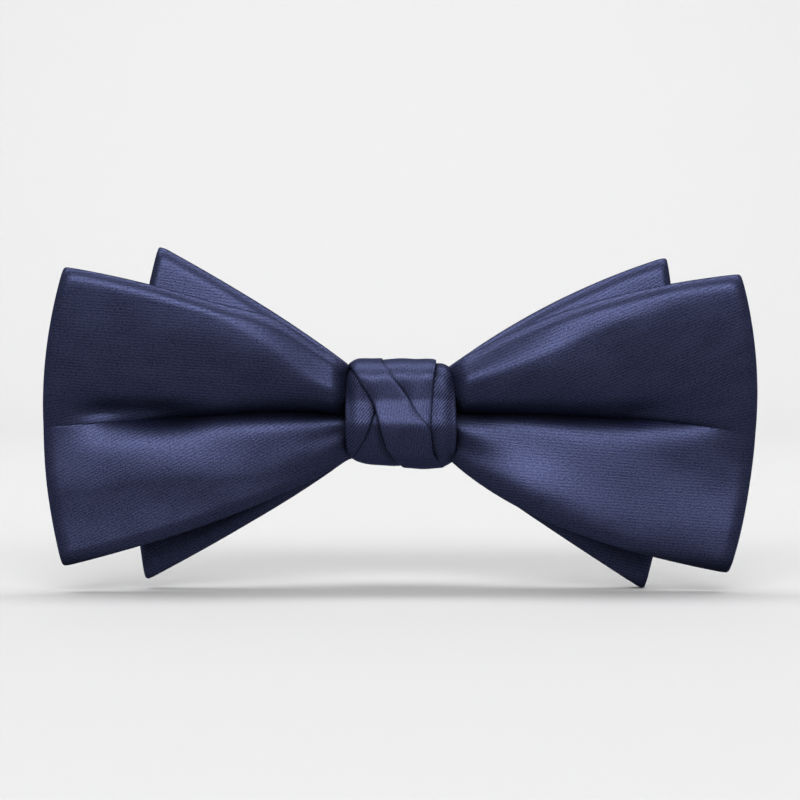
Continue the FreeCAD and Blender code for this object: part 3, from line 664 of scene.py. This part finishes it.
def plain_weave(name, colour, scale):
    """Matt cloth with a plain weave from two crossed waves."""
    material, nodes, links, shader = new_material(name)
    where = nodes.new("ShaderNodeTexCoord")
    height = None
    for direction in ("X", "Z"):
        wave = nodes.new("ShaderNodeTexWave")
        wave.bands_direction = direction
        wave.inputs["Scale"].default_value = scale
        links.new(where.outputs["Object"], wave.inputs["Vector"])
        crossed = wave.outputs[0]
        height = crossed if height is None else mathnode(nodes, links, "MULTIPLY", height, crossed)
    ramp = nodes.new("ShaderNodeValToRGB")
    ramp.color_ramp.elements[0].color = (*[c * 0.7 for c in colour], 1)
    ramp.color_ramp.elements[1].color = (*colour, 1)
    links.new(height, ramp.inputs[0])
    links.new(ramp.outputs[0], shader.inputs["Base Color"])
    bump = nodes.new("ShaderNodeBump")
    bump.inputs["Strength"].default_value = 0.5
    bump.inputs["Distance"].default_value = COARSE_RELIEF
    links.new(height, bump.inputs["Height"])
    links.new(bump.outputs[0], shader.inputs["Normal"])
    shader.inputs["Roughness"].default_value = 0.85
    return material


def plated_steel(name, colour, brush, roughness):
    """Plated sheet or wire: brushed along X, with slow blotches of wear in its roughness."""
    material, nodes, links, shader = new_material(name)
    where = nodes.new("ShaderNodeTexCoord")
    stretch = nodes.new("ShaderNodeMapping")
    stretch.inputs["Scale"].default_value = (60, brush, brush)
    links.new(where.outputs["Object"], stretch.inputs["Vector"])
    grain = nodes.new("ShaderNodeTexNoise")
    grain.inputs["Scale"].default_value = 40.0
    grain.inputs["Detail"].default_value = 4.0
    links.new(stretch.outputs[0], grain.inputs["Vector"])
    blotch = nodes.new("ShaderNodeTexNoise")
    blotch.inputs["Scale"].default_value = 260.0
    links.new(where.outputs["Object"], blotch.inputs["Vector"])
    mixed = mathnode(nodes, links, "ADD", mathnode(nodes, links, "MULTIPLY", grain.outputs[0], 0.5),
                     mathnode(nodes, links, "MULTIPLY", blotch.outputs[0], 0.5))
    ramp = nodes.new("ShaderNodeValToRGB")
    ramp.color_ramp.elements[0].position = 0.3
    ramp.color_ramp.elements[0].color = (*[c * 0.82 for c in colour], 1)
    ramp.color_ramp.elements[1].position = 0.7
    ramp.color_ramp.elements[1].color = (*colour, 1)
    links.new(mixed, ramp.inputs[0])
    links.new(ramp.outputs[0], shader.inputs["Base Color"])
    rough = nodes.new("ShaderNodeMapRange")
    rough.inputs["To Min"].default_value = roughness - 0.08
    rough.inputs["To Max"].default_value = roughness + 0.12
    links.new(mixed, rough.inputs["Value"])
    links.new(rough.outputs[0], shader.inputs["Roughness"])
    bump = nodes.new("ShaderNodeBump")
    bump.inputs["Strength"].default_value = 0.12
    bump.inputs["Distance"].default_value = FINE_RELIEF
    links.new(grain.outputs[0], bump.inputs["Height"])
    links.new(bump.outputs[0], shader.inputs["Normal"])
    shader.inputs["Metallic"].default_value = 1.0
    return material


def mottled(name, colour, roughness, scale, depth):
    """Felt, rubber or thread: fine mottling in colour and height."""
    material, nodes, links, shader = new_material(name)
    where = nodes.new("ShaderNodeTexCoord")
    noise = nodes.new("ShaderNodeTexNoise")
    noise.inputs["Scale"].default_value = scale
    noise.inputs["Detail"].default_value = 5.0
    links.new(where.outputs["Object"], noise.inputs["Vector"])
    ramp = nodes.new("ShaderNodeValToRGB")
    ramp.color_ramp.elements[0].position = 0.35
    ramp.color_ramp.elements[0].color = (*[c * 0.6 for c in colour], 1)
    ramp.color_ramp.elements[1].position = 0.65
    ramp.color_ramp.elements[1].color = (*colour, 1)
    links.new(noise.outputs[0], ramp.inputs[0])
    links.new(ramp.outputs[0], shader.inputs["Base Color"])
    bump = nodes.new("ShaderNodeBump")
    bump.inputs["Strength"].default_value = depth
    bump.inputs["Distance"].default_value = COARSE_RELIEF
    links.new(noise.outputs[0], bump.inputs["Height"])
    links.new(bump.outputs[0], shader.inputs["Normal"])
    shader.inputs["Roughness"].default_value = roughness
    return material


NAVY_DARK = (0.017, 0.020, 0.050)
NAVY_LIGHT = (0.050, 0.058, 0.122)

MATERIALS = {
    # The satins' last two numbers set their painted crease shade: how far in metres it reaches and how
    # strongly it darkens.
    "satin": satin("navy_satin", 0.505, TWILL_LEAN, 0.09, 0.45, 0.008, 2.3),
    # The rear bow's satin is the same cloth with shorter, weaker painted crease shade.
    "rear_satin": satin("rear_satin", 0.505, TWILL_LEAN, 0.09, 0.45, 0.003, 1.0),
    "knot_wrap": satin("knot_wrap_satin", 0.46, 8.0, 0.08, 0.45, 0.0018, 2.6),
    "knot_band": satin("knot_band_satin", 0.42, 36.0, 0.26, 0.9, 0.0018, 2.6),
    "interlining": plain_weave("woven_interlining", (0.55, 0.54, 0.50), 900.0),
    "felt": mottled("grey_felt", (0.09, 0.09, 0.12), 0.95, 1800.0, 0.8),
    "thread": mottled("sewing_thread", (0.03, 0.034, 0.085), 0.6, 6000.0, 0.6),
    "nickel": plated_steel("nickel_plate", (0.60, 0.58, 0.55), 900, 0.26),
    "spring": plated_steel("spring_wire", (0.40, 0.40, 0.42), 300, 0.3),
    "rubber": mottled("grip_rubber", (0.03, 0.03, 0.034), 0.7, 900.0, 0.4),
}


# ---- stage -----------------------------------------------------------------------------------------------

def area_light(name, location, target, size, power):
    light = bpy.data.lights.new(name, "AREA")
    light.shape = "RECTANGLE"
    light.size, light.size_y = size
    light.energy = power
    obj = bpy.data.objects.new(name, light)
    obj.location = location
    obj.rotation_euler = (Vector(target) - Vector(location)).to_track_quat("-Z", "Y").to_euler()
    bpy.context.scene.collection.objects.link(obj)


# Metres: the floor runs back from FLOOR_NEAR to SWEEP_AT, sweeps up at radius SWEEP_R and ends as a wall.
FLOOR_NEAR, SWEEP_AT, SWEEP_R, SWEEP_STEPS = -7.0, 0.55, 0.35, 16
WALL_HEIGHT, FLOOR_HALF_WIDTH = 1.6, 6.0
PAPER = (0.60, 0.60, 0.603, 1)
WORLD_LIGHT = 0.22
# Each light's place, what it points at, its size and its power.
LIGHTS = {
    "key": ((-0.03, -0.76, 0.50), (0, 0, 0), (0.9, 0.26), 6.7),
    "overhead": ((0.0, -0.05, 0.90), (0, 0, 0), (1.2, 0.6), 2.0),
    "backdrop_wash": ((0.0, 0.22, 0.95), (0, 0.90, 0.15), (1.6, 0.5), 12.4),
}


def make_stage(floor_z):
    """Pale floor swept up into a backdrop, soft lights and world light."""
    rows = [(FLOOR_NEAR, floor_z), (SWEEP_AT, floor_z)]
    for k in range(1, SWEEP_STEPS + 1):
        a = math.pi / 2 * k / SWEEP_STEPS
        rows.append((SWEEP_AT + SWEEP_R * math.sin(a), floor_z + SWEEP_R * (1 - math.cos(a))))
    rows.append((SWEEP_AT + SWEEP_R, floor_z + WALL_HEIGHT))
    points = [(x, y, z) for y, z in rows for x in (-FLOOR_HALF_WIDTH, FLOOR_HALF_WIDTH)]
    faces = [(2 * i, 2 * i + 1, 2 * i + 3, 2 * i + 2) for i in range(len(rows) - 1)]
    mesh = bpy.data.meshes.new("backdrop")
    mesh.from_pydata(points, [], faces)
    mesh.polygons.foreach_set("use_smooth", [True] * len(faces))
    backdrop = bpy.data.objects.new("backdrop", mesh)
    bpy.context.scene.collection.objects.link(backdrop)
    material, _, _, shader = new_material("pale_paper")
    shader.inputs["Base Color"].default_value = PAPER
    shader.inputs["Roughness"].default_value = 0.9
    mesh.materials.append(material)
    backdrop.visible_glossy = False

    world = bpy.data.worlds.new("studio")
    world.use_nodes = True
    world.node_tree.nodes["Background"].inputs[0].default_value = (1, 1, 1, 1)
    world.node_tree.nodes["Background"].inputs[1].default_value = WORLD_LIGHT
    bpy.context.scene.world = world
    for name, light in LIGHTS.items():
        area_light(name, *light)


PICTURE_WIDTH = 135.5       # mm across the picture, at the tie
PICTURE_MIDDLE = (0, -12.5, 2.3)
CAMERA_ELEVATION = 2.0      # degrees


def make_camera():
    """Long lens in front of the tie, a few degrees above it."""
    data = bpy.data.cameras.new("camera")
    data.sensor_width = 36.0
    data.lens = 110.0
    data.clip_start, data.clip_end = 0.01, 20.0
    distance = PICTURE_WIDTH * MM * data.lens / data.sensor_width
    elevation = math.radians(CAMERA_ELEVATION)
    camera = bpy.data.objects.new("camera", data)
    target = Vector([c * MM for c in PICTURE_MIDDLE])
    camera.location = target + distance * Vector((0, -math.cos(elevation), math.sin(elevation)))
    camera.rotation_euler = (target - camera.location).to_track_quat("-Z", "Y").to_euler()
    bpy.context.scene.collection.objects.link(camera)
    bpy.context.scene.camera = camera


# ---- the tie ---------------------------------------------------------------------------------------------

# Nodes that keep their CAD shape, and the material each gets.
CARRIED_OVER = {
    "waist_binding_thread": "thread", "bow_seam_stitches": "thread", "knot_stitches": "thread",
    "clip_strap_stitches": "thread", "clip_plate": "nickel", "clip_lever": "nickel",
    "clip_hinge_pin": "nickel", "clip_grip_pad": "rubber",
}


def main():
    make_camera()
    make_bow("front_bow", FRONT, "satin")
    make_bow("rear_bow", REAR, "rear_satin")
    for name, spec in STRIPS.items():
        wrap = knot_strip(name, spec)
    make_strap()
    make_spring()
    for node, material in CARRIED_OVER.items():
        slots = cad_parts[node].data.materials
        slots.clear()
        slots.append(MATERIALS[material])
    low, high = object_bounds()
    make_stage(low[2])
    bpy.context.scene.view_settings.view_transform = "Standard"


main()
